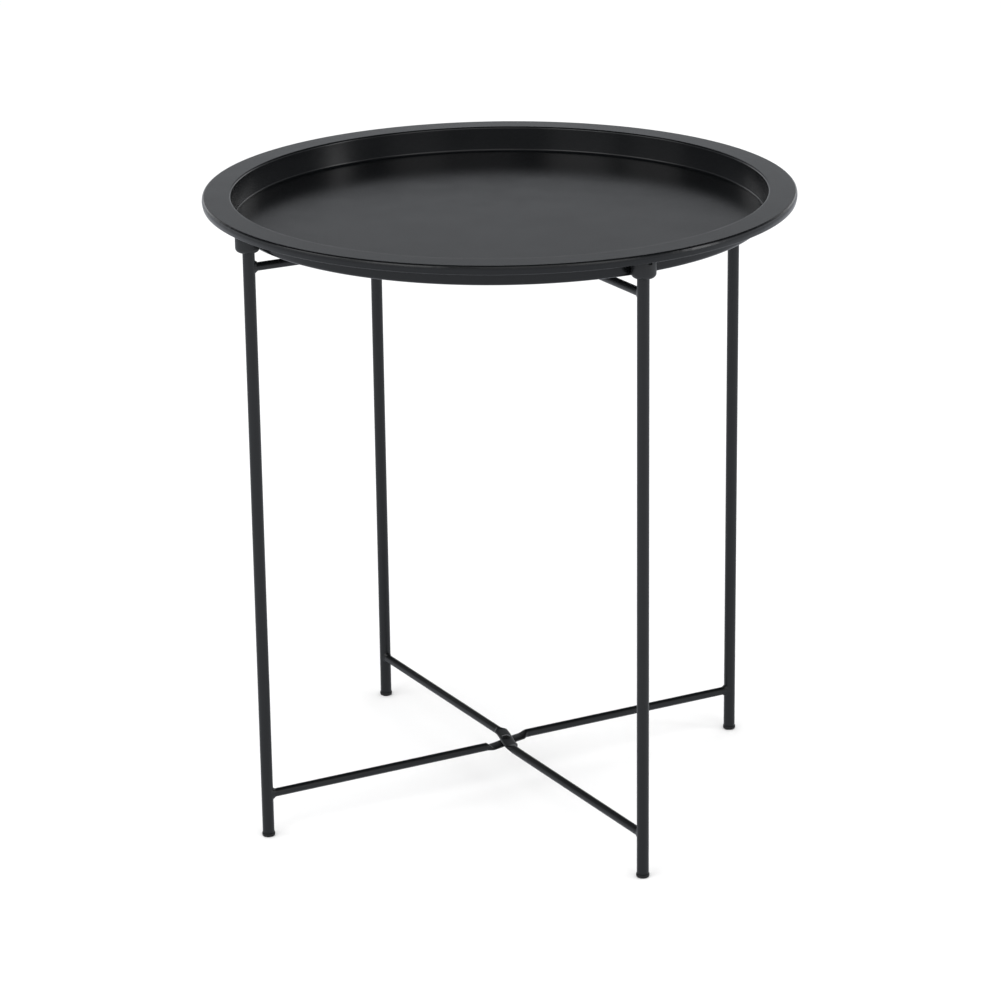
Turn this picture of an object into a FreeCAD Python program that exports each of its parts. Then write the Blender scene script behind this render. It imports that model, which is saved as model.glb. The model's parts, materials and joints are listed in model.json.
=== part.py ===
"""A round tray table on a folding frame, in millimetres.

The frame is two welded U-shaped frames, each of two tube legs joined by an upper and a lower cross rod.
The cross rods of the two frames are forged flat in the middle and riveted together there, so that one frame
turns about the upright centre line and the four legs close side by side. A cap on each leg carries the tray.

Z is up. The origin is on the floor, midway between the four legs. X points right and Y to the back.
"""

import FreeCAD, Part
import os
import math
import re
import Sketcher

OUT = "parts"
AXIS_Z = FreeCAD.Vector(0, 0, 1)
START, END, CENTRE = 1, 2, 3
ACROSS, UPRIGHT = -1, -2

# The driving dimensions: name, size in millimetres (or degrees), meaning.
DIMENSIONS = [
    ("tray_radius", 235.7, "tray, to the sharp corner of its hem before rounding"),
    ("rim_top", 509.0, "height of the tray's flat rim above the floor"),
    ("sheet", 0.8, "thickness of the tray's steel sheet"),
    ("hem_height", 7.0, "how far the hem hangs down round the rim"),
    ("hem_width", 4.1, "hem, across its foot"),
    ("hem_lean", 1.1, "how far the hem's band leans in from top to foot"),
    ("hem_return", 5.2, "height of the hem's inner leaf"),
    ("hem_top_bend", 1.7, "outer bend radius where the rim turns down into the hem"),
    ("hem_foot_bend", 1.2, "outer bend radius of the hem's foot"),
    ("lip_radius", 212.5, "where the rim turns down into the tray"),
    ("floor_radius", 211.2, "where the tray's wall meets its floor"),
    ("tray_depth", 20.7, "from the rim down to the tray's floor"),
    ("lip_bend", 1.6, "outer bend radius at the lip"),
    ("floor_bend", 2.0, "inner bend radius at the floor"),
    ("leg_circle", 220.0, "from the centre line to each leg's axis"),
    ("leg_azimuth", 45.0, "angle of the first leg from the X axis, in degrees"),
    ("leg_radius", 4.75, "leg tube, outside"),
    ("leg_wall", 1.0, "leg tube, wall"),
    ("leg_in_cap", 13.5, "how far a leg goes into its cap"),
    ("cap_bottom", 487.5, "height of the caps' lower faces"),
    ("cap_radius", 9.6, "leg cap, outside"),
    ("cap_shift", 0.6, "how far a cap stands out past its leg's axis"),
    ("cap_round", 3.8, "rounding of a cap's lower edge"),
    ("wall_clearance", 0.9, "room between a cap and the tray's wall"),
    ("slot_width", 3.4, "slot in the outer side of a cap"),
    ("slot_bottom", 499.4, "height of the slot's floor"),
    ("slot_reach", 2.2, "how far the slot goes into the cap"),
    ("foot_height", 3.0, "visible part of a foot glide"),
    ("foot_radius", 5.25, "foot glide, outside"),
    ("foot_round", 1.3, "rounding of a foot glide's lower edge"),
    ("stem_length", 14.0, "foot glide's stem inside the leg"),
    ("rod_radius", 3.4, "cross rods, solid round bar"),
    ("rod_offset", 4.75, "from the centre line sideways to each rod's axis"),
    ("lower_rod", 36.0, "height of the lower cross rods' axes"),
    ("upper_rod", 475.0, "height of the upper cross rods' axes"),
    ("flat_half", 20.0, "half the length of a rod's forged flat"),
    ("flat_taper", 3.0, "length over which the flat runs out into the rod"),
    ("flat_nose", 1.0, "half width of the flat where it ends in the rod"),
    ("flat_edge", 85.0, "radius of the flat's two bowed edges, in plan"),
    ("flat_thick", 2.5, "thickness of the flat"),
    ("flat_round", 0.5, "rounding of the flat's bowed edges"),
    ("pivot_gap", 0.6, "between the two flats of a crossing"),
    ("rivet_radius", 2.0, "rivet shank"),
    ("rivet_play", 0.08, "radial play of the turning rod on its rivet"),
    ("head_radius", 3.75, "rivet head"),
    ("head_height", 1.3, "rivet head"),
    ("head_round", 1.0, "rounding of the rivet head"),
    ("tail_radius", 3.4, "rivet's closed end"),
    ("tail_height", 1.1, "rivet's closed end"),
    ("tail_round", 0.7, "rounding of the rivet's closed end"),
    ("washer_radius", 5.2, "spacer washer"),
    ("washer_thick", 0.5, "spacer washer"),
    ("end_play", 0.1, "between the turning rod and what holds it up and down"),
    ("weld_radius", 4.7, "weld fillet where it meets the leg"),
    ("weld_length", 2.8, "how far a weld fillet runs along the rod"),
]

doc = FreeCAD.newDocument("tray_table")
sheet = doc.addObject("Spreadsheet::Sheet", "Sizes")
for row, (alias, amount, meaning) in enumerate(DIMENSIONS, start=1):
    sheet.set("A%d" % row, alias)
    sheet.set("B%d" % row, str(amount))
    sheet.setAlias("B%d" % row, alias)
    sheet.set("C%d" % row, meaning)
doc.recompute()

made = []


def size(text):
    """Turns the dimensions' names in an expression into references to the sheet."""
    names = {alias for alias, _, _ in DIMENSIONS}
    return re.sub("[a-z_]+", lambda word: "Sizes." + word[0] if word[0] in names else word[0], text)


def new_body(label, turn="0"):
    """A named body, turned about the centre line by an angle in degrees."""
    body = doc.addObject("PartDesign::Body", "body_" + label)
    body.Label = label
    body.Placement = FreeCAD.Placement(FreeCAD.Vector(), FreeCAD.Rotation(AXIS_Z, 1))
    body.setExpression("Placement.Rotation.Angle", size(turn))
    made.append(body)
    return body


def origin_part(body, role):
    """One of the planes or axes of a body's own origin."""
    return next(part for part in body.Origin.OriginFeatures if part.Role == role)


def new_sketch(body, name, plane, level=None):
    """A sketch on one of the body's origin planes, lifted along the plane's normal."""
    sketch = body.newObject("Sketcher::SketchObject", name)
    sketch.AttachmentSupport = [(origin_part(body, plane), "")]
    sketch.MapMode = "FlatFace"
    if level:
        sketch.setExpression("AttachmentOffset.Base.z", size(level))
    return sketch


def place_point(sketch, piece, which, x, y):
    """Dimensions a point of a sketch from the origin, or puts it on an axis where a distance is 0."""
    now = sketch.getPoint(piece, which)
    for kind, text, axis, start in (("DistanceX", x, UPRIGHT, now.x), ("DistanceY", y, ACROSS, now.y)):
        if text == "0":
            sketch.addConstraint(Sketcher.Constraint("PointOnObject", piece, which, axis))
        else:
            found = sketch.addConstraint(Sketcher.Constraint(kind, piece, which, start))
            sketch.setExpression("Constraints[%d]" % found, size(text))


def draw_polygon(sketch, corners):
    """A closed outline of straight lines. Its dimensions pull the corners from a circle to their places."""
    turn = 2 * math.pi / len(corners)
    round_points = [FreeCAD.Vector(math.cos(turn * i), math.sin(turn * i), 0) for i in range(len(corners))]
    for i, point in enumerate(round_points):
        sketch.addGeometry(Part.LineSegment(point, round_points[(i + 1) % len(corners)]))
    for i in range(len(corners)):
        sketch.addConstraint(Sketcher.Constraint("Coincident", i, END, (i + 1) % len(corners), START))
    for i, (x, y) in enumerate(corners):
        place_point(sketch, i, START, x, y)


def draw_circle(sketch, x, y, radius):
    """A dimensioned circle."""
    circle = sketch.addGeometry(Part.Circle(FreeCAD.Vector(1, 1, 0), AXIS_Z, 1.0))
    place_point(sketch, circle, CENTRE, x, y)
    found = sketch.addConstraint(Sketcher.Constraint("Radius", circle, 1.0))
    sketch.setExpression("Constraints[%d]" % found, size(radius))


def add_feature(body, kind, name, sketch, **bound):
    """A PartDesign feature made from a sketch, with its sizes bound to expressions."""
    feature = body.newObject("PartDesign::" + kind, name)
    feature.Profile = sketch
    for setting, text in bound.items():
        feature.setExpression(setting, size(text))
    return feature


def spin(body, kind, name, sketch):
    """A full turn of a sketch about the centre line, as a Revolution or a Groove."""
    feature = body.newObject("PartDesign::" + kind, name)
    feature.Profile = sketch
    feature.ReferenceAxis = (sketch, ["V_Axis"])
    feature.Angle = 360.0
    return feature


def round_edges(body, name, radius, wanted):
    """Fillets the edges of the body's newest feature that the test picks out."""
    doc.recompute()
    base = body.Tip
    edges = ["Edge%d" % (i + 1) for i, edge in enumerate(base.Shape.Edges) if wanted(edge)]
    fillet = body.newObject("PartDesign::Fillet", name)
    fillet.Base = (base, edges)
    fillet.setExpression("Radius", size(radius))
    doc.recompute()
    return fillet


def is_ring(edge, radius, height):
    """True for a full circle about an upright axis with that radius and height."""
    curve = edge.Curve
    return (
        isinstance(curve, Part.Circle)
        and abs(curve.Radius - radius) < 0.01
        and abs(curve.Center.z - height) < 0.01
        and abs(abs(curve.Axis.z) - 1) < 1e-6
    )


def make_tray():
    """The pressed tray: a flat floor, a near-upright wall, a flat rim and a hollow hem folded round its edge."""
    body = new_body("tray_top")
    section = new_sketch(body, "tray_section", "XZ_Plane")
    floor_top = "rim_top - tray_depth"
    foot = "rim_top - hem_height"
    band = "tray_radius - hem_lean"
    draw_polygon(section, [
        ("0", floor_top),
        ("floor_radius", floor_top),
        ("lip_radius", "rim_top"),
        ("tray_radius", "rim_top"),
        (band, foot),
        (band + " - hem_width + sheet", foot),
        (band + " - hem_width + sheet", foot + " + hem_return"),
        (band + " - hem_width + 2 * sheet", foot + " + hem_return"),
        (band + " - hem_width + 2 * sheet", foot + " + sheet"),
        (band + " - sheet", foot + " + sheet"),
        ("tray_radius - sheet", "rim_top - sheet"),
        ("lip_radius + sheet", "rim_top - sheet"),
        ("floor_radius + sheet", floor_top + " - sheet"),
        ("0", floor_top + " - sheet"),
    ])
    spin(body, "Revolution", "tray_pressing", section)

    skin = sheet.sheet
    floor = sheet.rim_top - sheet.tray_depth
    foot_height = sheet.rim_top - sheet.hem_height
    band_foot = sheet.tray_radius - sheet.hem_lean
    leaf = band_foot - sheet.hem_width + skin
    bends = [
        ("lip_outside", "lip_bend", sheet.lip_radius, sheet.rim_top),
        ("lip_inside", "lip_bend - sheet", sheet.lip_radius + skin, sheet.rim_top - skin),
        ("floor_inside", "floor_bend", sheet.floor_radius, floor),
        ("floor_outside", "floor_bend + sheet", sheet.floor_radius + skin, floor - skin),
        ("hem_top_outside", "hem_top_bend", sheet.tray_radius, sheet.rim_top),
        ("hem_top_inside", "hem_top_bend - sheet", sheet.tray_radius - skin, sheet.rim_top - skin),
        ("hem_foot_outside", "hem_foot_bend", band_foot, foot_height),
        ("hem_foot_inside", "hem_foot_bend - sheet", band_foot - skin, foot_height + skin),
        ("hem_leaf_outside", "hem_foot_bend", leaf, foot_height),
        ("hem_leaf_inside", "hem_foot_bend - sheet", leaf + skin, foot_height + skin),
    ]
    for name, radius, ring_radius, height in bends:
        round_edges(body, name, radius, lambda edge: is_ring(edge, ring_radius, height))


def make_leg(label, turn):
    """A tube leg, from its foot glide up into its cap."""
    body = new_body(label, turn)
    section = new_sketch(body, "tube_section", "XY_Plane", "foot_height")
    draw_circle(section, "leg_circle", "0", "leg_radius")
    draw_circle(section, "leg_circle", "0", "leg_radius - leg_wall")
    add_feature(body, "Pad", "tube", section, Length="cap_bottom + leg_in_cap - foot_height")


def make_foot(label, turn):
    """A plastic glide: a low round foot with a stem that plugs the end of the leg."""
    body = new_body(label, turn)
    disc = new_sketch(body, "foot_section", "XY_Plane")
    draw_circle(disc, "leg_circle", "0", "foot_radius")
    add_feature(body, "Pad", "foot_disc", disc, Length="foot_height")
    round_edges(body, "foot_edge", "foot_round", lambda edge: is_ring(edge, sheet.foot_radius, 0))
    stem = new_sketch(body, "stem_section", "XY_Plane", "foot_height")
    draw_circle(stem, "leg_circle", "0", "leg_radius - leg_wall")
    add_feature(body, "Pad", "stem", stem, Length="stem_length")


def make_cap(label, turn):
    """A plastic cap pushed on a leg. The rim rests on its top, and the hem hangs round its outer side."""
    body = new_body(label, turn)
    block = new_sketch(body, "cap_section", "XY_Plane", "cap_bottom")
    draw_circle(block, "leg_circle + cap_shift", "0", "cap_radius")
    add_feature(body, "Pad", "cap_block", block, Length="rim_top - sheet - cap_bottom")
    round_edges(body, "cap_edge", "cap_round", lambda edge: is_ring(edge, sheet.cap_radius, sheet.cap_bottom))

    socket = new_sketch(body, "socket_section", "XY_Plane", "cap_bottom")
    draw_circle(socket, "leg_circle", "0", "leg_radius")
    bore = add_feature(body, "Pocket", "leg_socket", socket, Length="leg_in_cap")
    bore.Reversed = True

    relief = new_sketch(body, "wall_relief_section", "XZ_Plane")
    reach = "lip_radius + sheet + wall_clearance"
    draw_polygon(relief, [
        ("floor_radius - cap_round", "cap_bottom - cap_round"),
        (reach, "cap_bottom - cap_round"),
        (reach, "rim_top"),
        ("floor_radius - cap_round", "rim_top"),
    ])
    spin(body, "Groove", "wall_relief", relief)

    slot = new_sketch(body, "slot_section", "XZ_Plane")
    slot_end = "leg_circle + cap_shift + cap_radius - slot_reach"
    draw_polygon(slot, [
        (slot_end, "slot_bottom"),
        ("tray_radius", "slot_bottom"),
        ("tray_radius", "rim_top"),
        (slot_end, "rim_top"),
    ])
    cut = add_feature(body, "Pocket", "spring_slot", slot, Length="slot_width")
    cut.Midplane = True


def other_way(hand, text):
    """The expression as it is for hand 1, and its opposite for hand -1."""
    return text if hand > 0 else "0 - ( " + text + " )"


def draw_flat(sketch, hand):
    """Plan of a forged flat: bowed edges that carry the rod from one side of the centre line to the other."""
    near = sheet.rod_offset - sheet.rod_radius
    far = sheet.rod_offset + sheet.rod_radius
    half, run = sheet.flat_half, sheet.flat_half + sheet.flat_taper
    low, high = sheet.rod_offset - sheet.flat_nose, sheet.rod_offset + sheet.flat_nose
    texts = {
        near: "rod_offset - rod_radius", far: "rod_offset + rod_radius",
        low: "rod_offset - flat_nose", high: "rod_offset + flat_nose",
    }
    # One end's corners: the nose inside the rod, then the shoulders at the rod's full width.
    end = [(half, near), (run, low), (run, high), (half, far)]
    corners = [(x, -hand * y) for x, y in end] + [(-x, hand * y) for x, y in end]
    points = [FreeCAD.Vector(x, y, 0) for x, y in corners]
    for i in range(8):
        first, last = points[i], points[(i + 1) % 8]
        if i in (3, 7):
            sketch.addGeometry(bowed_edge(first, last, sheet.flat_edge))
        else:
            sketch.addGeometry(Part.LineSegment(first, last))
    starts = [START] * 8
    ends = [END] * 8
    for i in (3, 7):
        if sketch.getPoint(i, START).distanceToPoint(points[i]) > 1e-6:
            starts[i], ends[i] = END, START
    for i in range(8):
        after = (i + 1) % 8
        sketch.addConstraint(Sketcher.Constraint("Coincident", i, ends[i], after, starts[after]))
        x, y = corners[i]
        x_text = "flat_half" if abs(x) == half else "flat_half + flat_taper"
        place_point(sketch, i, starts[i], other_way(x, x_text), other_way(y, texts[abs(y)]))
    for i in (3, 7):
        found = sketch.addConstraint(Sketcher.Constraint("Radius", i, sheet.flat_edge))
        sketch.setExpression("Constraints[%d]" % found, size("flat_edge"))


def bowed_edge(first, last, radius):
    """An arc between two points that bows away from the origin."""
    middle = (first + last) * 0.5
    chord = last - first
    across = FreeCAD.Vector(-chord.y, chord.x, 0).normalize()
    if across.dot(middle) < 0:
        across = -across
    rise = radius - math.sqrt(radius ** 2 - (chord.Length / 2) ** 2)
    return Part.Arc(first, middle + across * rise, last)


def make_cross_rod(label, turn, hand, level, height):
    """A cross rod, forged flat in the middle.

    Seen from the middle outwards, both halves lie to the right of the centre line for hand 1 and to the left
    for hand -1. The flat lies above the rod's axis for level 1 and below it for level -1.
    """
    body = new_body(label, turn)
    body.setExpression("Placement.Base.z", size(height))
    bottom = "pivot_gap / 2" if level > 0 else "0 - pivot_gap / 2 - flat_thick"
    plan = new_sketch(body, "flat_plan", "XY_Plane", bottom)
    draw_flat(plan, hand)
    add_feature(body, "Pad", "forged_flat", plan, Length="flat_thick")
    round_edges(body, "flat_edges", "flat_round", lambda edge: isinstance(edge.Curve, Part.Circle))

    side = other_way(-hand, "rod_offset")
    section = new_sketch(body, "rod_section", "YZ_Plane", "flat_half - flat_taper")
    draw_circle(section, side, "0", "rod_radius")
    reach = "sqrt(leg_circle ^ 2 - rod_offset ^ 2)"
    rod = add_feature(body, "Pad", "round_bar", section, Length=reach + " - flat_half + flat_taper")

    step = new_sketch(body, "forged_step_section", "XZ_Plane")
    face = other_way(level, "pivot_gap / 2")
    outside = other_way(level, "0 - 1.5 * rod_radius")
    slope = "flat_half + rod_radius * 0.5"
    draw_polygon(step, [
        ("flat_half - 2 * flat_taper", face),
        ("flat_half - flat_taper", face),
        (slope, outside),
        ("flat_half - 2 * flat_taper", outside),
    ])
    under = add_feature(body, "Pocket", "forged_step", step, Length="4 * rod_offset")
    under.Midplane = True

    over = new_sketch(body, "forged_face_section", "XZ_Plane")
    crown = other_way(level, "pivot_gap / 2 + flat_thick")
    above = other_way(level, "1.5 * rod_radius")
    draw_polygon(over, [
        ("flat_half - 2 * flat_taper", crown),
        ("flat_half - flat_taper", crown),
        ("flat_half", above),
        ("flat_half - 2 * flat_taper", above),
    ])
    top = add_feature(body, "Pocket", "forged_face", over, Length="4 * rod_offset")
    top.Midplane = True

    cope = new_sketch(body, "cope_section", "XY_Plane")
    draw_circle(cope, reach, side, "leg_radius")
    notch = add_feature(body, "Pocket", "leg_cope", cope, Length="4 * rod_radius")
    notch.Midplane = True

    doc.recompute()
    both = body.newObject("PartDesign::PolarPattern", "two_halves")
    both.Originals = [rod, under, top, notch]
    both.Axis = (origin_part(body, "Z_Axis"), [""])
    both.Angle = 360.0
    both.Occurrences = 2
    body.Tip = both
    doc.recompute()

    hole = new_sketch(body, "rivet_hole_section", "XY_Plane")
    play = "" if level > 0 else " + rivet_play"
    draw_circle(hole, "0", "0", "rivet_radius" + play)
    drill = add_feature(body, "Pocket", "rivet_hole", hole, Length="4 * rod_radius")
    drill.Midplane = True


def make_rivet(label, height):
    """A rivet, tight in the upper flat and free in the lower one, with a low head above and a closed end below."""
    body = new_body(label)
    body.setExpression("Placement.Base.z", size(height))
    crown = "pivot_gap / 2 + flat_thick"
    foot = "0 - pivot_gap / 2 - flat_thick - end_play"
    section = new_sketch(body, "rivet_section", "XZ_Plane")
    draw_polygon(section, [
        ("0", foot + " - tail_height"),
        ("tail_radius", foot + " - tail_height"),
        ("tail_radius", foot),
        ("rivet_radius", foot),
        ("rivet_radius", crown),
        ("head_radius", crown),
        ("head_radius", crown + " + head_height"),
        ("0", crown + " + head_height"),
    ])
    spin(body, "Revolution", "rivet_shape", section)
    top = sheet.pivot_gap / 2 + sheet.flat_thick + sheet.head_height
    under = -(sheet.pivot_gap / 2 + sheet.flat_thick + sheet.end_play + sheet.tail_height)
    round_edges(body, "head_edge", "head_round", lambda edge: is_ring(edge, sheet.head_radius, top))
    round_edges(body, "tail_edge", "tail_round", lambda edge: is_ring(edge, sheet.tail_radius, under))


def make_washer(label, height):
    """A thin spacer washer that keeps the two painted flats of a crossing apart."""
    body = new_body(label)
    body.setExpression("Placement.Base.z", size(height))
    section = new_sketch(body, "washer_section", "XY_Plane", "pivot_gap / 2 - washer_thick")
    draw_circle(section, "0", "0", "washer_radius")
    draw_circle(section, "0", "0", "rivet_radius")
    add_feature(body, "Pad", "washer", section, Length="washer_thick")


def make_weld_beads(label, turn, hand):
    """The four weld fillets of a frame: a tapered ring round each rod's end, shaped to the leg behind it."""
    rings = []
    reach = "sqrt(leg_circle ^ 2 - rod_offset ^ 2)"
    for name, height in (("lower", "lower_rod"), ("upper", "upper_rod")):
        for end, way in (("out", 1), ("in", -1)):
            tag = "%s_%s_%s" % (label, name, end)
            x = other_way(way, reach)
            y = other_way(-hand * way, "rod_offset")
            towards = FreeCAD.Rotation(FreeCAD.Vector(0, 0, 1), FreeCAD.Vector(-way, 0, 0))
            cone = doc.addObject("Part::Cone", "taper_" + tag)
            cone.Placement = FreeCAD.Placement(FreeCAD.Vector(), towards)
            bar = doc.addObject("Part::Cylinder", "bar_" + tag)
            bar.Placement = FreeCAD.Placement(FreeCAD.Vector(), towards)
            tube = doc.addObject("Part::Cylinder", "tube_" + tag)
            bound = [
                (cone, "Radius1", "weld_radius + ( weld_radius - rod_radius ) * leg_radius / weld_length"),
                (cone, "Radius2", "rod_radius"),
                (cone, "Height", "leg_radius + weld_length"),
                (bar, "Radius", "rod_radius"),
                (bar, "Height", "leg_radius + 2 * weld_length"),
                (tube, "Radius", "leg_radius"),
                (tube, "Height", "8 * rod_radius"),
            ]
            for piece in (cone, bar, tube):
                bound.append((piece, "Placement.Base.x", x))
                bound.append((piece, "Placement.Base.y", y))
            bound.append((cone, "Placement.Base.z", height))
            bound.append((bar, "Placement.Base.z", height))
            bound.append((tube, "Placement.Base.z", height + " - 4 * rod_radius"))
            for piece, setting, text in bound:
                piece.setExpression(setting, size(text))
            core = doc.addObject("Part::Fuse", "core_" + tag)
            core.Base, core.Tool = bar, tube
            ring = doc.addObject("Part::Cut", "ring_" + tag)
            ring.Base, ring.Tool = cone, core
            rings.append(ring)
    group = doc.addObject("Part::Compound", "welds_" + label)
    group.Links = rings
    group.Label = label
    group.Placement = FreeCAD.Placement(FreeCAD.Vector(), FreeCAD.Rotation(AXIS_Z, 1))
    group.setExpression("Placement.Rotation.Angle", size(turn))
    made.append(group)


# Frame A has the legs at front right and back left, and frame B those at front left and back right.
TILT = "asin(rod_offset / leg_circle)"
FRAMES = [
    {"name": "a", "hand": 1, "level": 1, "legs": [("front_right", "0 - leg_azimuth"),
                                                 ("back_left", "180 - leg_azimuth")],
     "turn": TILT + " - leg_azimuth * 1 deg"},
    {"name": "b", "hand": -1, "level": -1, "legs": [("back_right", "leg_azimuth"),
                                                   ("front_left", "180 + leg_azimuth")],
     "turn": "leg_azimuth * 1 deg - " + TILT},
]

make_tray()
for frame in FRAMES:
    for place, turn in frame["legs"]:
        make_leg("leg_" + place, turn)
        make_foot("foot_glide_" + place, turn)
        make_cap("leg_cap_" + place, turn)
    for name, height in (("lower", "lower_rod"), ("upper", "upper_rod")):
        label = "cross_rod_%s_%s" % (frame["name"], name)
        make_cross_rod(label, frame["turn"], frame["hand"], frame["level"], height)
    make_weld_beads("weld_beads_" + frame["name"], frame["turn"], frame["hand"])
for name, height in (("lower", "lower_rod"), ("upper", "upper_rod")):
    make_rivet("pivot_rivet_" + name, height)
    make_washer("pivot_washer_" + name, height)

doc.recompute()
for thing in doc.Objects:
    if "Invalid" in thing.State or "Error" in thing.State:
        raise SystemExit("%s (%s) failed to build: %s" % (thing.Name, thing.Label, thing.State))
os.makedirs(OUT, exist_ok=True)
for thing in made:
    shape = thing.Shape
    if shape.isNull() or not shape.isValid() or not shape.Solids:
        raise SystemExit("%s has no valid solid" % thing.Label)
    shape.exportStep(os.path.join(OUT, thing.Label + ".step"))
    box = shape.BoundBox
    print("%-28s %d solid, %9.1f mm3, %6.1f x %6.1f x %6.1f" % (
        thing.Label, len(shape.Solids), shape.Volume, box.XLength, box.YLength, box.ZLength))
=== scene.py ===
# %% [markdown]
# # A folding tray table
# The frame comes from the design model: its nodes give every position, and its bodies give every motion.
# This script builds the pieces that are seen, in finer shape than the design needs, and gives each its
# finish. Lengths in the named values are millimetres, as a workshop drawing has them, and `MM` turns them
# into metres.

# %% Load the frame
import json
import math

import bmesh
import bpy
from mathutils import Matrix, Vector, noise

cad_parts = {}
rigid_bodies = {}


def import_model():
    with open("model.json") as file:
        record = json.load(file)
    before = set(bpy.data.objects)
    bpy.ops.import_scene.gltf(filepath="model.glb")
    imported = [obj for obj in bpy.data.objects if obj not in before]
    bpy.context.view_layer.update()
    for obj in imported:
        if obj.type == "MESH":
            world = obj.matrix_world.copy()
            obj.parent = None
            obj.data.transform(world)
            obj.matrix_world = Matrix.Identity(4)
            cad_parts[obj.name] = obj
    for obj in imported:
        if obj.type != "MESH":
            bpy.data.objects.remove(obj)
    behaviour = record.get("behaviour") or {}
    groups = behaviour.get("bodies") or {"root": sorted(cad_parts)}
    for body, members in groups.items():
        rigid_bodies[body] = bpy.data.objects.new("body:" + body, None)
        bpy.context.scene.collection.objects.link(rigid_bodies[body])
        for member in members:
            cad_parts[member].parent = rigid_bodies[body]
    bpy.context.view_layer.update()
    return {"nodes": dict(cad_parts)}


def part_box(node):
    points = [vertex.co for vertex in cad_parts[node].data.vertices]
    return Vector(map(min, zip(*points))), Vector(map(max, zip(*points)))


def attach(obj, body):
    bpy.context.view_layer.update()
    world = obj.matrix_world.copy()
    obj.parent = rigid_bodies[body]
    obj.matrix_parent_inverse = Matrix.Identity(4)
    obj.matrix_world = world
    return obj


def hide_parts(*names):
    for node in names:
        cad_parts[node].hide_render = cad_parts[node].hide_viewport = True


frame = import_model()
MM = 0.001

# %% [markdown]
# Positions are read from the design's own boxes, so that nothing has to be fitted by hand afterwards. A
# leg's box gives its axis and its radius, the tray's box its radius and the height of its rim.

# %% Read the main sizes from the frame
def middle_of(node):
    """The middle of a design node's box, in metres."""
    low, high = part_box(node)
    return (low + high) / 2


PLACES = {"front_right": "frame_a", "back_left": "frame_a", "back_right": "frame_b", "front_left": "frame_b"}
tray_low, tray_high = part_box("tray_top")
rim_radius = tray_high.x
rim_top = tray_high.z
leg_low, leg_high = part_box("leg_front_right")
leg_radius = (leg_high.x - leg_low.x) / 2
leg_circle = middle_of("leg_front_right").xy.length
print("rim radius %.1f mm, rim top %.1f mm" % (rim_radius / MM, rim_top / MM))
print("leg circle %.1f mm, leg radius %.2f mm" % (leg_circle / MM, leg_radius / MM))

# %% [markdown]
# Every piece ends the same way: the bmesh becomes a mesh, the mesh an object, and the object rides on a
# body and stands for its design node. One helper does this, so no piece can be left without a body or a
# finish. Doubled points are merged before the normals are recalculated, because a full spin can leave
# both.

# %% Helpers that finish a piece
MERGE_GAP = 0.002
finishes = {}


def finish_piece(shape, name, body, slot, nodes, smooth_angle=40):
    """Makes an object of a bmesh, gives it a body and a material slot, and hides the design nodes it stands
    for.
    """
    bmesh.ops.remove_doubles(shape, verts=shape.verts, dist=MERGE_GAP * MM)
    bmesh.ops.recalc_face_normals(shape, faces=shape.faces)
    limit = math.radians(smooth_angle)
    for face in shape.faces:
        face.smooth = True
    for edge in shape.edges:
        edge.smooth = len(edge.link_faces) == 2 and edge.calc_face_angle() < limit
    mesh = bpy.data.meshes.new(name)
    shape.to_mesh(mesh)
    shape.free()
    piece = bpy.data.objects.new(name, mesh)
    bpy.context.scene.collection.objects.link(piece)
    mesh.materials.append(finishes[slot])
    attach(piece, body)
    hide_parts(*nodes)
    print("%s: %d faces, on %s" % (name, len(mesh.polygons), body))


def turned_about_z(angle, height=0.0):
    """A turn about the table's upright centre line, and a lift."""
    return Matrix.Translation((0, 0, height)) @ Matrix.Rotation(angle, 4, "Z")


# %% [markdown]
# ## Shared surface effects
# Powder coat is sprayed on dry and melts into a skin with a fine, pebbled grain. Two noises make it: a
# fine one for the pebbles and a slow one for the way the skin pools. The group gives a height and a slow
# mask.

# %% The grain group
POOL_SCALE = 38.0
FINE_DETAIL = 2.0
SLOW_DETAIL = 3.0


def new_group(name, inputs, outputs):
    """An empty shader node group with named float inputs and outputs."""
    group = bpy.data.node_groups.new(name, "ShaderNodeTree")
    for label, value in inputs:
        socket = group.interface.new_socket(label, in_out="INPUT", socket_type="NodeSocketFloat")
        socket.default_value = value
    for label in outputs:
        group.interface.new_socket(label, in_out="OUTPUT", socket_type="NodeSocketFloat")
    enter = group.nodes.new("NodeGroupInput")
    leave = group.nodes.new("NodeGroupOutput")
    return group, enter, leave


def math_node(tree, operation, first, second):
    """A Math node whose two inputs are sockets or numbers."""
    node = tree.nodes.new("ShaderNodeMath")
    node.operation = operation
    for slot_number, source in enumerate((first, second)):
        if isinstance(source, (int, float)):
            node.inputs[slot_number].default_value = source
        else:
            tree.links.new(source, node.inputs[slot_number])
    return node.outputs["Value"]


def noise_node(tree, place, scale, detail, roughness=0.5):
    """A Noise Texture in the given coordinates; scale is a socket or a number of lumps to the metre."""
    node = tree.nodes.new("ShaderNodeTexNoise")
    node.inputs["Detail"].default_value = detail
    node.inputs["Roughness"].default_value = roughness
    tree.links.new(place, node.inputs["Vector"])
    if isinstance(scale, (int, float)):
        node.inputs["Scale"].default_value = scale
    else:
        tree.links.new(scale, node.inputs["Scale"])
    return node.outputs["Fac"]


def make_grain_group():
    """Height and slow mask of a sprayed or moulded skin."""
    group, enter, leave = new_group("skin_grain", [("Scale", 900.0), ("Pooling", 0.35)], ["Height", "Slow"])
    place = group.nodes.new("ShaderNodeTexCoord").outputs["Object"]
    fine = noise_node(group, place, enter.outputs["Scale"], FINE_DETAIL)
    slow = noise_node(group, place, POOL_SCALE, SLOW_DETAIL)
    pooled = math_node(group, "MULTIPLY", slow, enter.outputs["Pooling"])
    height = math_node(group, "ADD", fine, pooled)
    group.links.new(height, leave.inputs["Height"])
    group.links.new(slow, leave.inputs["Slow"])
    return group


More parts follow.
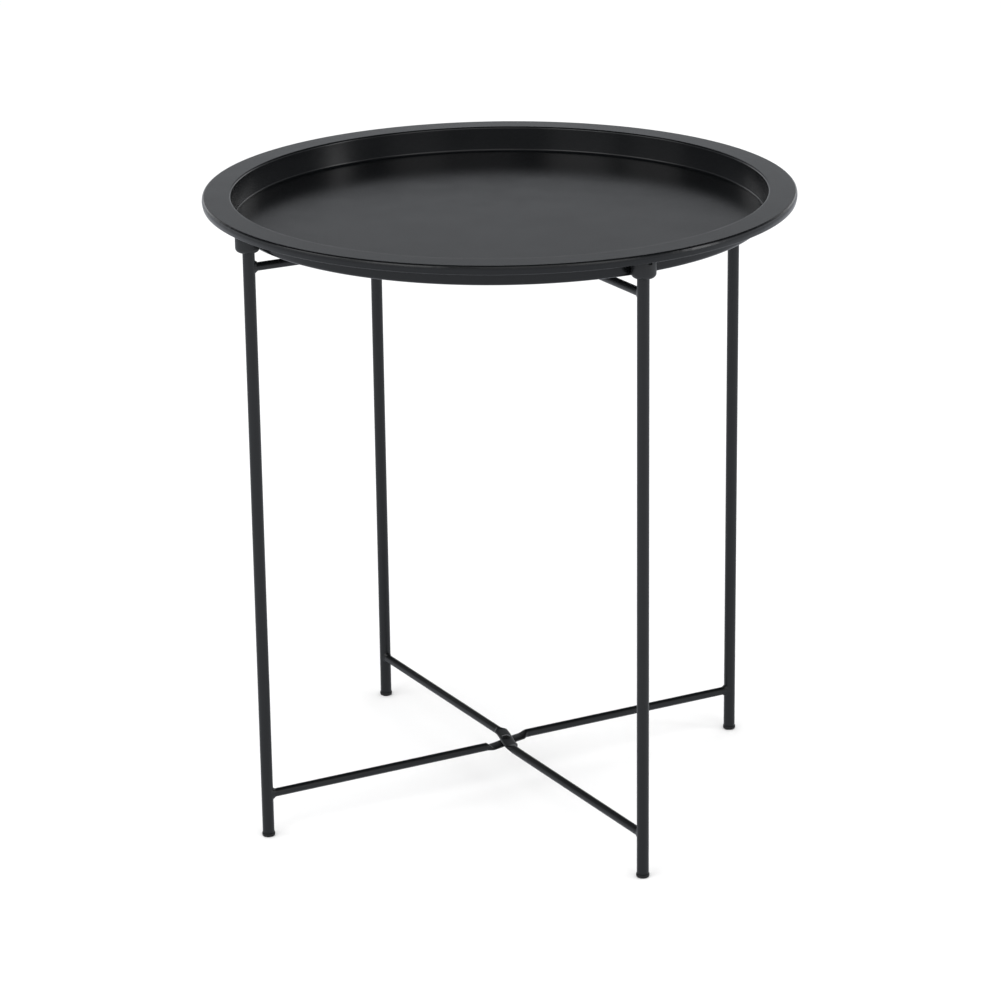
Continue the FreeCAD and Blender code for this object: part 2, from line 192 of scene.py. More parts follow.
grain = make_grain_group()
print("group:", grain.name)

# %% [markdown]
# Dust settles on what faces up and stays in patches. The group takes the surface's own upward tilt, thins
# it with a patchy noise, and adds a few brighter specks.

# %% The dust group
PATCH_DETAIL = 4.0
PATCH_ROUGHNESS = 0.6
SPECK_SCALE = 1500.0
SPECK_DETAIL = 1.0
SPECK_CUT = 0.74


def make_dust_group():
    """A mask of fine dust on upward faces."""
    group, enter, leave = new_group("settled_dust", [("Amount", 0.5), ("Patch Size", 14.0)], ["Mask"])
    place = group.nodes.new("ShaderNodeTexCoord").outputs["Object"]
    tilt = group.nodes.new("ShaderNodeSeparateXYZ")
    group.links.new(group.nodes.new("ShaderNodeNewGeometry").outputs["Normal"], tilt.inputs["Vector"])
    upward = math_node(group, "MAXIMUM", tilt.outputs["Z"], 0.0)
    patch = noise_node(group, place, enter.outputs["Patch Size"], PATCH_DETAIL, PATCH_ROUGHNESS)
    speck = noise_node(group, place, SPECK_SCALE, SPECK_DETAIL)
    specks = math_node(group, "GREATER_THAN", speck, SPECK_CUT)
    film = math_node(group, "MULTIPLY", upward, patch)
    both = math_node(group, "ADD", film, math_node(group, "MULTIPLY", specks, upward))
    mask = math_node(group, "MULTIPLY", both, enter.outputs["Amount"])
    group.links.new(mask, leave.inputs["Mask"])
    return group


dust = make_dust_group()
print("group:", dust.name)

# %% [markdown]
# ## Finishes
# All the finishes are dark and dull, so their difference is in the grain and in how far the light
# spreads. One recipe makes them: a base colour that drifts a little, a roughness that follows the slow
# mask, and a bump from the grain. The tray has the finest coat, the frame a coarser one, and the
# mouldings are the dullest.

# %% One recipe for the dark finishes
DUST_COLOUR = (0.22, 0.21, 0.20, 1)


def make_finish(name, deep, pale, gloss, rough, rough_drift, grain_scale, grain_depth, dust_amount):
    """A dark satin skin: its two colours, specular level, roughness and its drift, grain, and dust."""
    material = bpy.data.materials.new(name)
    material.use_nodes = True
    tree = material.node_tree
    shader = tree.nodes["Principled BSDF"]
    shader.inputs["Specular IOR Level"].default_value = gloss
    skin = tree.nodes.new("ShaderNodeGroup")
    skin.node_tree = grain
    skin.inputs["Scale"].default_value = grain_scale
    film = tree.nodes.new("ShaderNodeGroup")
    film.node_tree = dust
    film.inputs["Amount"].default_value = dust_amount

    colour = tree.nodes.new("ShaderNodeMix")
    colour.data_type = "RGBA"
    colour.inputs["A"].default_value = (*deep, 1)
    colour.inputs["B"].default_value = (*pale, 1)
    tree.links.new(skin.outputs["Slow"], colour.inputs["Factor"])
    dusted = tree.nodes.new("ShaderNodeMix")
    dusted.data_type = "RGBA"
    dusted.inputs["B"].default_value = DUST_COLOUR
    tree.links.new(colour.outputs["Result"], dusted.inputs["A"])
    tree.links.new(film.outputs["Mask"], dusted.inputs["Factor"])
    tree.links.new(dusted.outputs["Result"], shader.inputs["Base Color"])

    drift = math_node(tree, "MULTIPLY", skin.outputs["Slow"], rough_drift)
    tree.links.new(math_node(tree, "ADD", drift, rough), shader.inputs["Roughness"])
    bump = tree.nodes.new("ShaderNodeBump")
    bump.inputs["Strength"].default_value = 1.0
    bump.inputs["Distance"].default_value = grain_depth * MM
    tree.links.new(skin.outputs["Height"], bump.inputs["Height"])
    tree.links.new(bump.outputs["Normal"], shader.inputs["Normal"])
    finishes[name] = material


make_finish(
    "tray_coat", deep=(0.0019, 0.0024, 0.0030), pale=(0.0034, 0.0040, 0.0047), gloss=0.36,
    rough=0.19, rough_drift=0.07, grain_scale=1300.0, grain_depth=0.012, dust_amount=0.006,
)
make_finish(
    "frame_coat", deep=(0.0026, 0.0031, 0.0036), pale=(0.0045, 0.0052, 0.0060), gloss=0.42,
    rough=0.26, rough_drift=0.10, grain_scale=1400.0, grain_depth=0.016, dust_amount=0.005,
)
make_finish(
    "cap_plastic", deep=(0.0050, 0.0056, 0.0062), pale=(0.0080, 0.0088, 0.0096), gloss=0.42,
    rough=0.34, rough_drift=0.10, grain_scale=2600.0, grain_depth=0.012, dust_amount=0.004,
)
make_finish(
    "foot_plastic", deep=(0.0040, 0.0042, 0.0044), pale=(0.0070, 0.0072, 0.0075), gloss=0.38,
    rough=0.40, rough_drift=0.10, grain_scale=2600.0, grain_depth=0.012, dust_amount=0.004,
)
make_finish(
    "rivet_steel", deep=(0.0050, 0.0052, 0.0055), pale=(0.0090, 0.0092, 0.0096), gloss=0.50,
    rough=0.22, rough_drift=0.10, grain_scale=1400.0, grain_depth=0.016, dust_amount=0.006,
)
make_finish(
    "washer_plastic", deep=(0.0060, 0.0060, 0.0062), pale=(0.0090, 0.0090, 0.0092), gloss=0.40,
    rough=0.42, rough_drift=0.10, grain_scale=2600.0, grain_depth=0.012, dust_amount=0.004,
)
print("finishes:", ", ".join(finishes))

# %% [markdown]
# ## The tray
# The tray is one disc of thin steel, pressed to a bowl, with its edge folded down and under into a hollow
# hem. A thing that is the same all the way round is drawn once as a section and spun. The section is
# drawn with sharp corners, each with its bend radius, and a helper rounds them, as a press brake rounds a
# folded sheet. Smooth shading blends normals along each face, so a flat stretch also gets a point close
# to each of its ends. These holding points keep the blend inside the bend, and the flat stays flat in a
# reflection.

# %% Outlines with rounded corners
HOLD = 0.25
FEWEST_STEPS = 2
STEPS_TO_A_MM = 3


def rounded(corners, steps=6):
    """An outline with rounded corners. Corners are (x, z, bend radius); the two ends stay as they are."""
    outline = [corners[0][:2]]
    for before, (x, z, bend), after in zip(corners, corners[1:], corners[2:]):
        corner = Vector((x, z))
        back = (Vector(before[:2]) - corner).normalized()
        ahead = (Vector(after[:2]) - corner).normalized()
        half = back.angle(ahead) / 2
        run = bend / math.tan(half)
        middle = corner + (back + ahead).normalized() * (bend / math.sin(half))
        start = corner + back * run - middle
        sweep = -start.angle_signed(corner + ahead * run - middle) if bend else 0
        count = min(steps, FEWEST_STEPS + int(STEPS_TO_A_MM * bend)) if bend else 0
        for step in range(count + 1):
            spoke = start.copy()
            spoke.rotate(Matrix.Rotation(sweep * step / max(count, 1), 2))
            outline.append(tuple(middle + spoke))
    outline.append(corners[-1][:2])
    return held(outline)


def held(outline):
    """The outline with a holding point close to both ends of each long stretch."""
    points = [outline[0]]
    for start, end in zip(outline, outline[1:]):
        length = math.dist(start, end)
        if length > 4 * HOLD:
            for run in (HOLD, length - HOLD):
                points.append(tuple(Vector(start).lerp(Vector(end), run / length)))
        points.append(end)
    return points


SHEET = 0.8
LIP_RADIUS = 212.5
LIP_BEND = 1.6
FLOOR_RADIUS = 211.2
FLOOR_BEND = 2.0
RIM_RADIUS = 235.55
HEM_HEIGHT = 7.0
HEM_WIDTH = 4.1
HEM_CREST = 3.2
HEM_CROWN = 0.9
HEM_RETURN = 5.2
HEM_TOP_BEND = 1.7
HEM_CREST_BEND = 6.0
HEM_FOOT_BEND = 0.9
CUT_EDGE = 0.2


def tray_section():
    """The tray's cut outline as (radius, height) points, in millimetres: top side, hem, and underside."""
    top = rim_top / MM
    under = top - SHEET
    crest = top - HEM_CREST
    floor = tray_low.z / MM + SHEET
    foot = top - HEM_HEIGHT
    end = foot + HEM_RETURN
    band = RIM_RADIUS - HEM_CROWN
    leaf = band - HEM_WIDTH + SHEET
    top_side = [(0, floor, 0), (FLOOR_RADIUS, floor, FLOOR_BEND), (LIP_RADIUS, top, LIP_BEND)]
    hem_outside = [
        (band, top, HEM_TOP_BEND), (RIM_RADIUS, crest, HEM_CREST_BEND),
        (band, foot, HEM_FOOT_BEND), (leaf, foot, HEM_FOOT_BEND), (leaf, end, CUT_EDGE),
    ]
    hem_inside = [
        (leaf + SHEET, end, CUT_EDGE), (leaf + SHEET, foot + SHEET, HEM_FOOT_BEND - SHEET),
        (band - SHEET, foot + SHEET, HEM_FOOT_BEND - SHEET),
        (RIM_RADIUS - SHEET, crest, HEM_CREST_BEND - SHEET), (band - SHEET, under, HEM_TOP_BEND - SHEET),
    ]
    underside = [
        (LIP_RADIUS + SHEET, under, LIP_BEND - SHEET),
        (FLOOR_RADIUS + SHEET, floor - SHEET, FLOOR_BEND + SHEET), (0, floor - SHEET, 0),
    ]
    return rounded(top_side + hem_outside + hem_inside + underside)


print("points in the section:", len(tray_section()))

# %% [markdown]
# `spin` turns the drawn line about the centre. The hem was folded over in passes, and the sheet had to
# shrink as it turned under, which leaves the band very slightly puckered. Its points are moved in by up
# to a quarter of a millimetre. The noise is read on a circle, so that the puckers meet where the turn
# closes.

# %% Spin the tray
TRAY_STEPS = 1024
PUCKER_DEPTH = 0.26
PUCKER_PITCH = 3.0
PUCKER_SLANT = 0.22
PUCKER_PATCHES = 5.0
PATCH_SHARE = 0.4
TOP_SHARE = 0.7


def spin_section(points, steps):
    """A bmesh made by turning a section about the centre line; points are (radius, height) in mm."""
    shape = bmesh.new()
    verts = [shape.verts.new((radius * MM, 0, height * MM)) for radius, height in points]
    edges = [shape.edges.new(pair) for pair in zip(verts, verts[1:])]
    bmesh.ops.spin(
        shape, geom=verts + edges, cent=(0, 0, 0), axis=(0, 0, 1),
        angle=2 * math.pi, steps=steps, use_merge=True,
    )
    return shape


def pucker_hem(shape):
    """Moves the hem's points in by the small puckers of a folded edge."""
    start = (RIM_RADIUS - HEM_WIDTH) * MM
    for vert in shape.verts:
        if vert.co.xy.length < start:
            continue
        outward = Vector((vert.co.x, vert.co.y, 0)).normalized()
        fine = outward * (RIM_RADIUS / PUCKER_PITCH) + Vector((0, 0, vert.co.z / MM * PUCKER_SLANT))
        rise = (vert.co.z - rim_top) / MM / HEM_HEIGHT + 1
        patch = 1 - PATCH_SHARE + PATCH_SHARE * noise.noise(outward * PUCKER_PATCHES)
        strength = patch * (1 - TOP_SHARE + TOP_SHARE * rise)
        vert.co -= outward * (0.5 + 0.5 * noise.noise(fine)) * strength * PUCKER_DEPTH * MM


tray = spin_section(tray_section(), TRAY_STEPS)
pucker_hem(tray)
finish_piece(tray, "tray_pressing", "tray", "tray_coat", ["tray_top"])

# %% [markdown]
# ## The legs
# A leg is a length of thin tube. Its ends are cut and deburred, so the section has rounded corners. The
# spin is made on the centre line, and the shape is then moved to the leg's place.

# %% Four tube legs
LEG_WALL = 1.0
DEBURR = 0.25
LEG_STEPS = 56


def tube_section(radius, wall, low, high):
    """The cut outline of a tube's wall, with its four corners rounded."""
    inner = radius - wall
    middle = (low + high) / 2
    return rounded([
        (radius, middle, 0), (radius, high, DEBURR), (inner, high, DEBURR),
        (inner, low, DEBURR), (radius, low, DEBURR), (radius, middle, 0),
    ], 3)


for place, body in PLACES.items():
    node = "leg_" + place
    low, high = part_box(node)
    tube = spin_section(tube_section(leg_radius / MM, LEG_WALL, low.z / MM, high.z / MM), LEG_STEPS)
    axis = middle_of(node)
    bmesh.ops.translate(tube, verts=tube.verts, vec=(axis.x, axis.y, 0))
    finish_piece(tube, "tube_" + place, body, "frame_coat", [node])

# %% [markdown]
# ## The foot glides
# A glide is a soft plastic plug: a low round foot that stands on the floor and a ribbed stem that grips
# the inside of the tube. It is turned, so it is a spun section as well.

# %% Four foot glides
GLIDE_ROUND = 1.3
STEM_RADIUS = 3.6
RIBS = 3
RIB_HEIGHT = 0.13
RIB_RISE = 1.0
RIB_FALL = 0.3


def glide_section(radius, height, top):
    """The outline of a glide: foot, shoulder and ribbed stem."""
    corners = [(0, 0, 0), (radius, 0, GLIDE_ROUND), (radius, height, DEBURR), (STEM_RADIUS, height, 0)]
    rib_pitch = (top - height) / (RIBS + 1)
    for rib in range(1, RIBS + 1):
        middle = height + rib * rib_pitch
        corners.append((STEM_RADIUS, middle - RIB_RISE, 0))
        corners.append((STEM_RADIUS + RIB_HEIGHT, middle, 0))
        corners.append((STEM_RADIUS, middle + RIB_FALL, 0))
    return rounded(corners + [(STEM_RADIUS, top, DEBURR), (0, top, 0)])


for place, body in PLACES.items():
    node = "foot_glide_" + place
    low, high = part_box(node)
    radius = (high.x - low.x) / 2 / MM
    foot = spin_section(glide_section(radius, leg_low.z / MM, high.z / MM), LEG_STEPS)
    axis = middle_of(node)
    bmesh.ops.translate(foot, verts=foot.verts, vec=(axis.x, axis.y, 0))
    finish_piece(foot, "glide_" + place, body, "foot_plastic", [node])

# %% [markdown]
# ## The leg caps
# A cap is a moulded cup, pushed on the leg upside down. Its lower edge is well rounded, the side towards
# the tray's wall is cut flat, and a slot in its outer side lets the moulding spring. It is raised from a
# circle in small steps, one face extruded again and again. At the height of the slot's floor the face is
# cut into fields, and only the fields outside the slot go on up. It is made with the leg's axis as its
# centre and x outwards.

# %% Sizes of a cap
CAP_SHIFT = 0.6
CAP_ROUND = 3.8
CAP_SEGMENTS = 96
CAP_STEPS = 10
WALL_ROOM = 0.9
SLOT_WIDTH = 3.4
SLOT_BOTTOM = 499.4
SLOT_REACH = 2.2
SOFT_EDGE = 0.3
SHARP_ANGLE = math.radians(45)
FLAT_ANGLE = math.radians(1)
LEVEL_SLACK = 1e-6
CAP_MERGE_GAP = 0.01
cap_low, cap_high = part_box("leg_cap_front_right")
cap_radius = (cap_high.x - leg_circle / math.sqrt(2)) / MM - CAP_SHIFT / math.sqrt(2)
print("cap radius %.2f mm" % cap_radius)


def split_faces(shape, faces, point, normal):
    """Cuts faces with an upright plane."""
    edges = {edge for face in faces for edge in face.edges}
    verts = {vert for face in faces for vert in face.verts}
    cut = list(verts) + list(edges) + list(faces)
    bmesh.ops.bisect_plane(shape, geom=cut, plane_co=point, plane_no=normal)


def raise_faces(shape, faces, height):
    """Extrudes faces together to a height and returns the new top faces."""
    made = bmesh.ops.extrude_face_region(shape, geom=faces)["geom"]
    bmesh.ops.delete(shape, geom=faces, context="FACES_ONLY")
    tops = [item for item in made if isinstance(item, bmesh.types.BMFace)]
    for vert in {vert for face in tops for vert in face.verts}:
        vert.co.z = height * MM
    return tops


# %% [markdown]
# Extruding leaves the underside open, and so does cutting the inner side away, so each hole is filled
# from its own edges. Every sharp edge then gets a fine bevel, because no moulding leaves its tool with a
# sharp edge.

# %% Four leg caps
def at_slot_floor(face):
    """Whether a face lies at the height of the slot's floor."""
    return all(abs(vert.co.z - SLOT_BOTTOM * MM) < LEVEL_SLACK for vert in face.verts)


def cap_body():
    """The round cup with its slot, before its inner side is cut flat."""
    shape = bmesh.new()
    bottom, top = cap_low.z / MM, cap_high.z / MM
    start = cap_radius - CAP_ROUND
    middle = Vector((CAP_SHIFT * MM, 0, 0))
    place = Matrix.Translation(middle + Vector((0, 0, bottom * MM)))
    bmesh.ops.create_circle(shape, cap_ends=True, segments=CAP_SEGMENTS, radius=start * MM, matrix=place)
    tops = shape.faces[:]
    radius = start
    for step in range(1, CAP_STEPS + 1):
        turn = math.pi / 2 * step / CAP_STEPS
        tops = raise_faces(shape, tops, bottom + CAP_ROUND * (1 - math.cos(turn)))
        wider = (start + CAP_ROUND * math.sin(turn)) / radius
        radius *= wider
        for vert in {vert for face in tops for vert in face.verts}:
            vert.co.xy = middle.xy + (vert.co.xy - middle.xy) * wider
    raise_faces(shape, tops, SLOT_BOTTOM)
    half_slot = SLOT_WIDTH / 2 * MM
    slot_end = (CAP_SHIFT + cap_radius - SLOT_REACH) * MM
    end_cut = ((slot_end, 0, 0), (1, 0, 0))
    side_cuts = [((0, side, 0), (0, 1, 0)) for side in (half_slot, -half_slot)]
    for point, normal in [end_cut] + side_cuts:
        split_faces(shape, [face for face in shape.faces if at_slot_floor(face)], point, normal)
    outside_slot = []
    for face in shape.faces:
        spot = face.calc_center_median()
        if at_slot_floor(face) and (spot.x < slot_end or abs(spot.y) > half_slot):
            outside_slot.append(face)
    raise_faces(shape, outside_slot, top)
    return shape


def finish_cap(shape):
    """Cuts the inner side flat, closes the holes and softens the sharp edges."""
    inner = (LIP_RADIUS + SHEET + WALL_ROOM) * MM - leg_circle
    everything = shape.verts[:] + shape.edges[:] + shape.faces[:]
    bmesh.ops.bisect_plane(
        shape, geom=everything, plane_co=(inner, 0, 0), plane_no=(-1, 0, 0), clear_outer=True
    )
    bmesh.ops.remove_doubles(shape, verts=shape.verts, dist=CAP_MERGE_GAP * MM)
    bmesh.ops.holes_fill(shape, edges=[edge for edge in shape.edges if edge.is_boundary])
    bmesh.ops.dissolve_limit(
        shape, angle_limit=FLAT_ANGLE, use_dissolve_boundaries=False, verts=shape.verts, edges=shape.edges
    )
    bmesh.ops.recalc_face_normals(shape, faces=shape.faces)
    sharp = [edge for edge in shape.edges if edge.is_manifold and edge.calc_face_angle() > SHARP_ANGLE]
    bmesh.ops.bevel(
        shape, geom=sharp, offset=SOFT_EDGE * MM, segments=3, profile=0.5, affect="EDGES", material=-1,
        offset_type="OFFSET", clamp_overlap=True,
    )


for place, body in PLACES.items():
    cap = cap_body()
    finish_cap(cap)
    axis = middle_of("leg_" + place)
    bmesh.ops.translate(cap, verts=cap.verts, vec=(leg_circle, 0, 0))
    bmesh.ops.transform(cap, verts=cap.verts, matrix=turned_about_z(math.atan2(axis.y, axis.x)))
    finish_piece(cap, "cap_" + place, body, "cap_plastic", ["leg_cap_" + place])

# %% [markdown]
# ## The cross rods
# A cross rod is round bar, hammered flat in the middle so that two rods can lie on each other and take a
# rivet. Both halves stand a little to one side of the centre line, which lets the folded legs lie side by
# side. A bar with many rings is the start: `create_cone` with equal ends, and its long edges cut into
# rings. Each ring is then moved to its station and given the section that the bar has there.

# %% Sizes of a cross rod
ROD_OFFSET = 4.75
FLAT_WIDTH = 11.4
FLAT_THICK = 2.5
FLAT_START = 16.0
FLAT_END = 21.5
CROSSOVER = 23.0
PIVOT_GAP = 0.6
SQUARENESS = 3.2
ROD_SEGMENTS = 40
RING_GAP = 0.6
RING_MARGIN = 1.0
PLAIN_RINGS = 8
ROD_SINK = 0.35
low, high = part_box("cross_rod_a_lower")
rod_radius = (high.z - low.z) / 2 / MM
rod_reach = math.sqrt(leg_circle**2 - (ROD_OFFSET * MM) ** 2) / MM
rod_tilt = math.asin(ROD_OFFSET * MM / leg_circle)
FRAMES = {
    "a": {"body": "frame_a", "hand": 1, "level": 1, "leg": "front_right", "tilt": rod_tilt},
    "b": {"body": "frame_b", "hand": -1, "level": -1, "leg": "back_right", "tilt": -rod_tilt},
}
print("rod radius %.2f mm, reach %.1f mm" % (rod_radius, rod_reach))


def ease(x):
    """0 below 0, 1 above 1 and a smooth rise between."""
    x = min(max(x, 0), 1)
    return x * x * (3 - 2 * x)


def ringed_bar(rings, segments, caps=True):
    """A straight bar one unit long in Z, with a radius of one unit and evenly spaced rings."""
    shape = bmesh.new()
    bmesh.ops.create_cone(shape, cap_ends=caps, segments=segments, radius1=1, radius2=1, depth=1)
    long_edges = [edge for edge in shape.edges if abs(edge.verts[0].co.z - edge.verts[1].co.z) > 0.5]
    bmesh.ops.subdivide_edges(shape, edges=long_edges, cuts=rings - 2, use_grid_fill=True)
    return shape


# %% [markdown]
# The section is a circle along the round bar. Towards the rivet it grows wider and thinner, and squarer,
# as a lump of steel does under a hammer: the superellipse's power rises from 2, which is a circle. The
# middle line crosses over in one slow S, and moves up or down to lie against the other frame's flat.

# %% Four cross rods
def rod_stations():
    """Places of the rings along a rod, close together where the bar changes shape."""
    flat_rings = int((2 * CROSSOVER + 2 * RING_MARGIN) / RING_GAP) + 1
    flat = [-CROSSOVER - RING_MARGIN + ring * RING_GAP for ring in range(flat_rings)]
    start = CROSSOVER + 2 * RING_MARGIN
    run = [start + ring * (rod_reach - start) / PLAIN_RINGS for ring in range(PLAIN_RINGS + 1)]
    return [-x for x in reversed(run)] + flat + run


def forge_rod(hand, level):
    """A cross rod along X; hand is the side its halves stand on, level puts its flat above or below."""
    stations = rod_stations()
    shape = ringed_bar(len(stations), ROD_SEGMENTS)
    wall = leg_radius / MM - ROD_SINK
    for vert in shape.verts:
        ring = round((vert.co.z + 0.5) * (len(stations) - 1))
        x = stations[ring]
        spread = 1 - ease((abs(x) - FLAT_START) / (FLAT_END - FLAT_START))
        half_width = rod_radius + (FLAT_WIDTH / 2 - rod_radius) * spread
        half_thick = rod_radius + (FLAT_THICK / 2 - rod_radius) * spread
        power = 2 / (2 + (SQUARENESS - 2) * spread)
        across, up = vert.co.y, vert.co.x
        y = math.copysign(abs(across) ** power, across) * half_width
        z = math.copysign(abs(up) ** power, up) * half_thick
        side = -hand * ROD_OFFSET * math.sin(math.pi / 2 * min(max(x / CROSSOVER, -1), 1))
        if ring in (0, len(stations) - 1):
            x = math.copysign(rod_reach - math.sqrt(wall**2 - y * y), x)
        rise = level * (PIVOT_GAP / 2 + FLAT_THICK / 2) * spread
        vert.co = Vector((x, y + side, z + rise)) * MM
    return shape


for letter, its in FRAMES.items():
    axis = middle_of("leg_" + its["leg"])
    its["turn"] = math.atan2(axis.y, axis.x) + its["tilt"]
    for level_name in ("lower", "upper"):
        node = "cross_rod_%s_%s" % (letter, level_name)
        rod = forge_rod(its["hand"], its["level"])
        bmesh.ops.transform(rod, verts=rod.verts, matrix=turned_about_z(its["turn"], middle_of(node).z))
        finish_piece(rod, "rod_%s_%s" % (letter, level_name), its["body"], "frame_coat", [node])

# %% [markdown]
# ## The welds
# Each rod is welded to its legs with one run of weld all round. Its surface is a hollow curve from the
# rod to the tube, and no hand-made run is even, so its size wanders a little. A ringed bar is the start
# again. Its rings run along the curve and its segments round the rod, and the first and last rings are
# bridged inside the metal.

# %% Eight weld beads
WELD_LEG = 1.9
WELD_RUN = 2.4
WELD_WANDER = 0.35
WELD_SPREAD = 0.96
WELD_LUMPS = 1.6
WELD_SEED_STEP = 7.3
WELD_IN_ROD = 0.15
WELD_IN_TUBE = 0.12
WELD_RINGS = 9
WELD_SEGMENTS = 48


def weld_bead(seed):
    """A bead round a rod that runs in -X from a tube whose axis is at the origin; the rod's is at y = 0."""
    shape = ringed_bar(WELD_RINGS, WELD_SEGMENTS, caps=False)
    tube = leg_radius / MM
    for vert in shape.verts:
        along = vert.co.z + 0.5
        turn = math.atan2(vert.co.y, vert.co.x)
        spot = Vector((math.cos(turn) * WELD_LUMPS, math.sin(turn) * WELD_LUMPS, seed * WELD_SEED_STEP))
        size = 1 + WELD_WANDER * noise.noise(spot)
        hollow = math.pi / 2 * along
        out = rod_radius - WELD_IN_ROD + WELD_LEG * size * (1 - math.sin(hollow))
        back = WELD_RUN * size * (1 - math.cos(hollow))
        y, z = min(out, WELD_SPREAD * tube) * math.sin(turn), out * math.cos(turn)
        face = math.sqrt(tube**2 - y * y) - WELD_IN_TUBE
        vert.co = Vector((-face - back, y, z)) * MM
    ends = [edge for edge in shape.edges if len(edge.link_faces) == 1]
    bmesh.ops.bridge_loops(shape, edges=ends)
    return shape


for letter, its in FRAMES.items():
    for level_name in ("lower", "upper"):
        height = middle_of("cross_rod_%s_%s" % (letter, level_name)).z
        for end_name, end_turn in (("out", 0), ("in", math.pi)):
            seed = len(bpy.data.objects)
            bead = weld_bead(seed)
            offset = -its["hand"] * ROD_OFFSET * MM
            bmesh.ops.translate(bead, verts=bead.verts, vec=(rod_reach * MM, offset, 0))
            bmesh.ops.transform(bead, verts=bead.verts, matrix=turned_about_z(its["turn"] + end_turn, height))
            name = "weld_%s_%s_%s" % (letter, level_name, end_name)
            finish_piece(bead, name, its["body"], "frame_coat", ["weld_beads_" + letter])

# %% [markdown]
# ## The rivets
# A rivet's head is a low dome, and its other end is upset over the lower flat in a die, so that it has a
# rounded edge and a shallow dimple. It was painted with the frame. The section runs from the top of the
# dome down.

# %% Two rivets
HEAD_RADIUS = 3.75
HEAD_HEIGHT = 1.3
HEAD_EDGE = 0.45
TAIL_RADIUS = 3.4
TAIL_HEIGHT = 1.1
SHANK_RADIUS = 2.0
HEAD_CHAMFER = 0.12
TAIL_LIP = 0.2
TAIL_ROUND = 0.7
DIMPLE_SLOPE = 0.5
DIMPLE_EDGE = 0.3
DIMPLE_DEPTH = 0.35
DOME_STEPS = 12
TAIL_STEPS = 6
RIVET_STEPS = 64


def arc(centre, radius, start, end, steps):
    """Points on an arc; angles are in radians, from outwards towards up."""
    turns = [start + (end - start) * step / steps for step in range(steps + 1)]
    return [(centre[0] + radius * math.cos(turn), centre[1] + radius * math.sin(turn)) for turn in turns]


def rivet_section(head_base, tail_base):
    """The outline of a closed rivet, from the crown of its head down to its upset end."""
    rise = HEAD_HEIGHT - HEAD_EDGE
    dome_radius = (HEAD_RADIUS**2 + rise**2) / (2 * rise)
    half_angle = math.asin(HEAD_RADIUS / dome_radius)
    dome_centre = (0, head_base + HEAD_HEIGHT - dome_radius)
    outline = arc(dome_centre, dome_radius, math.pi / 2, math.pi / 2 - half_angle, DOME_STEPS)
    outline += [(HEAD_RADIUS, head_base + HEAD_CHAMFER), (HEAD_RADIUS - HEAD_CHAMFER, head_base)]
    outline += [(SHANK_RADIUS, head_base), (SHANK_RADIUS, tail_base), (TAIL_RADIUS - TAIL_LIP, tail_base)]
    tail_end = tail_base - TAIL_HEIGHT
    round_centre = (TAIL_RADIUS - TAIL_ROUND, tail_end + TAIL_ROUND)
    outline += arc(round_centre, TAIL_ROUND, 0, -math.pi / 2, TAIL_STEPS)
    outline += [(SHANK_RADIUS, tail_end), (SHANK_RADIUS - DIMPLE_SLOPE, tail_end + DIMPLE_EDGE)]
    outline += [(0, tail_end + DIMPLE_DEPTH)]
    return outline


for level_name in ("lower", "upper"):
    node = "pivot_rivet_" + level_name
    low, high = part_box(node)
    rivet = spin_section(rivet_section(high.z / MM - HEAD_HEIGHT, low.z / MM + TAIL_HEIGHT), RIVET_STEPS)
    finish_piece(rivet, "rivet_" + level_name, "frame_a", "rivet_steel", [node])

# %% [markdown]
# The washers between the flats are hardly seen, so the design's own nodes are kept as they are, and only
# take a finish.

# %% Finish of the two washers
for level_name in ("lower", "upper"):
    washer = frame["nodes"]["pivot_washer_" + level_name]
    washer.data.materials.clear()
    washer.data.materials.append(finishes["washer_plastic"])
    print(washer.name, "has", finishes["washer_plastic"].name)

# %% [markdown]
# ## The room
# The floor is a wide plain disc of matt white, which also lights the table from below. In a mirrored ray it
# is greyer, a painted shade that stands for a real studio floor outside the light, so that lower edges stay
# dark.

# %% The floor
FLOOR_METRES = 14.0
FLOOR_PAINT = (0.93, 0.93, 0.93, 1)
# The floor's colour in mirrored rays, darker as painted shade.
MIRRORED_FLOOR_SHADE = (0.55, 0.57, 0.61, 1)
FLOOR_ROUGHNESS = 0.9
FLOOR_GLOSS = 0.1


def make_floor():
    """A plain pale floor for the feet to stand on."""
    shape = bmesh.new()
    bmesh.ops.create_circle(shape, cap_ends=True, segments=128, radius=FLOOR_METRES)
    mesh = bpy.data.meshes.new("floor")
    shape.to_mesh(mesh)
    shape.free()
    ground = bpy.data.objects.new("floor", mesh)
    bpy.context.scene.collection.objects.link(ground)
    material = bpy.data.materials.new("floor_white")
    material.use_nodes = True
    tree = material.node_tree
    shader = tree.nodes["Principled BSDF"]
    paint = tree.nodes.new("ShaderNodeMix")
    paint.data_type = "RGBA"
    paint.inputs["A"].default_value = FLOOR_PAINT
    # Mirrored rays see the greyer colour: painted shade on the floor.
    paint.inputs["B"].default_value = MIRRORED_FLOOR_SHADE
    tree.links.new(tree.nodes.new("ShaderNodeLightPath").outputs["Is Glossy Ray"], paint.inputs["Factor"])
    tree.links.new(paint.outputs["Result"], shader.inputs["Base Color"])
    shader.inputs["Roughness"].default_value = FLOOR_ROUGHNESS
    shader.inputs["Specular IOR Level"].default_value = FLOOR_GLOSS
    mesh.materials.append(material)


make_floor()

# %% [markdown]
# A black satin surface shows mostly what it mirrors, so its look is made by what stands round it. The sky
# is a white tent for the floor, but a shiny surface sees a room whose walls are white low down and fade
# to a dark ceiling. That keeps level surfaces grey and draws a black line along every rounded upper edge.
# A ring of panels, which are area lights that the camera doesn't see, adds thin highlights along the
# bends.

